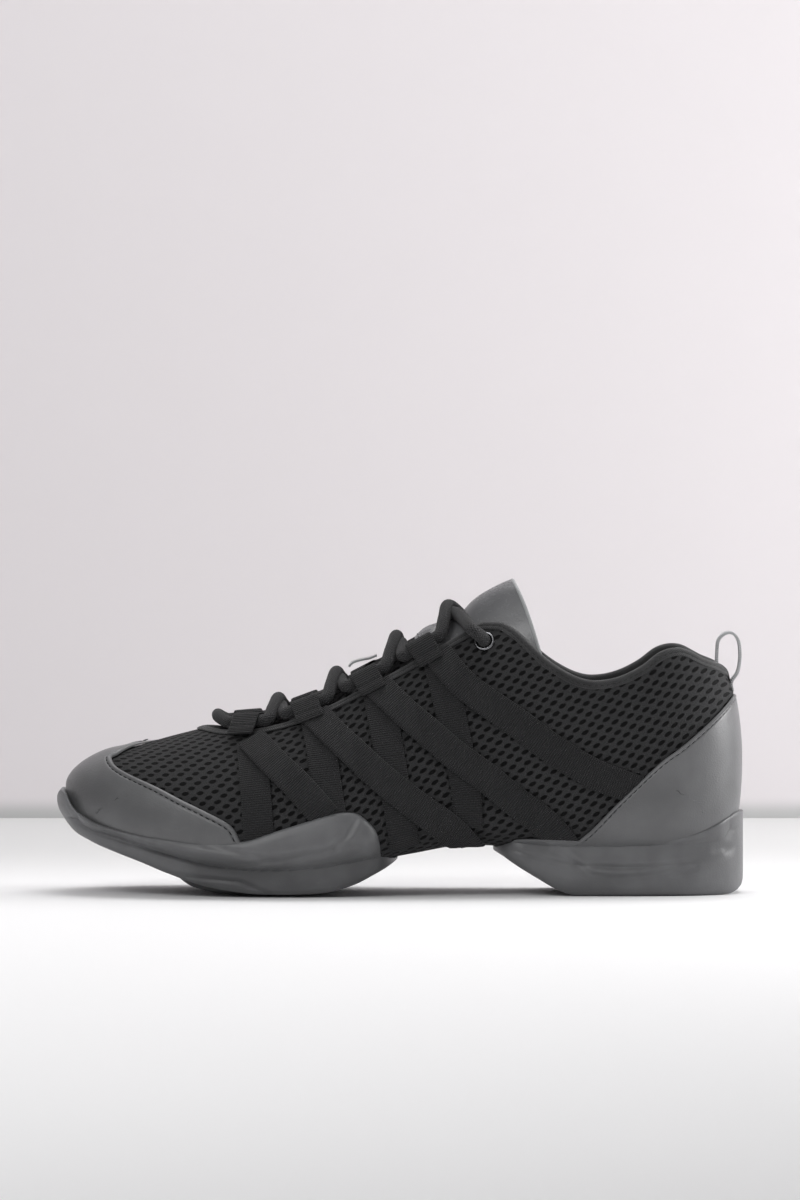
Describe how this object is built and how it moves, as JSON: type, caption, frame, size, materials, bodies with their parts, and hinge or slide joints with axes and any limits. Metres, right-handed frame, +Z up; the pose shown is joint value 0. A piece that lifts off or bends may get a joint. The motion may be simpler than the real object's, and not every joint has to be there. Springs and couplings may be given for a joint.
{
  "type": "dance sneaker",
  "caption": "Split-sole dance sneaker: mesh upper with toe cap, heel counter, crossing webbing straps, padded tongue, lace through webbing loops and eyelets, pull loop and two separate sole units.",
  "frame": {"origin": "middle of the bounding box's bottom, on the floor", "axes": "+X from the toe to the heel, +Y towards the inner side of the foot, +Z up"},
  "size_m": [0.2652, 0.0986, 0.1203],
  "materials": {
    "knit": "matte open mesh",
    "lining": "matte",
    "tongue": "matte mesh with a satin top panel",
    "sole": "satin, finely grained",
    "synthetic_leather": "satin, folded and stitched at its edges",
    "webbing": "matte woven band with fine cross ribs",
    "lace_cord": "matte braid",
    "eyelet_metal": "polished dark metal",
    "pull_ribbon": "silver-grey woven ribbon"
  },
  "bodies": {
    "root": {"upper": "knit", "insole": "lining", "tongue": "tongue", "toe_cap": "synthetic_leather", "heel_counter": "synthetic_leather", "forefoot_sole": "sole", "heel_sole": "sole", "strap_down_outer_1": "webbing", "strap_down_outer_2": "webbing", "strap_down_outer_3": "webbing", "strap_down_outer_4": "webbing", "strap_down_inner_1": "webbing", "strap_down_inner_2": "webbing", "strap_down_inner_3": "webbing", "strap_down_inner_4": "webbing", "strap_slant_outer_1": "webbing", "strap_slant_outer_2": "webbing", "strap_slant_outer_3": "webbing", "strap_slant_outer_4": "webbing", "strap_slant_inner_1": "webbing", "strap_slant_inner_2": "webbing", "strap_slant_inner_3": "webbing", "strap_slant_inner_4": "webbing", "lace_loop_outer_1": "webbing", "lace_loop_outer_2": "webbing", "lace_loop_outer_3": "webbing", "lace_loop_outer_4": "webbing", "lace_loop_inner_1": "webbing", "lace_loop_inner_2": "webbing", "lace_loop_inner_3": "webbing", "lace_loop_inner_4": "webbing", "eyelet_outer": "eyelet_metal", "eyelet_inner": "eyelet_metal", "lace": "lace_cord", "lace_keeper": "webbing", "pull_loop": "pull_ribbon"}
  },
  "joints": []
}
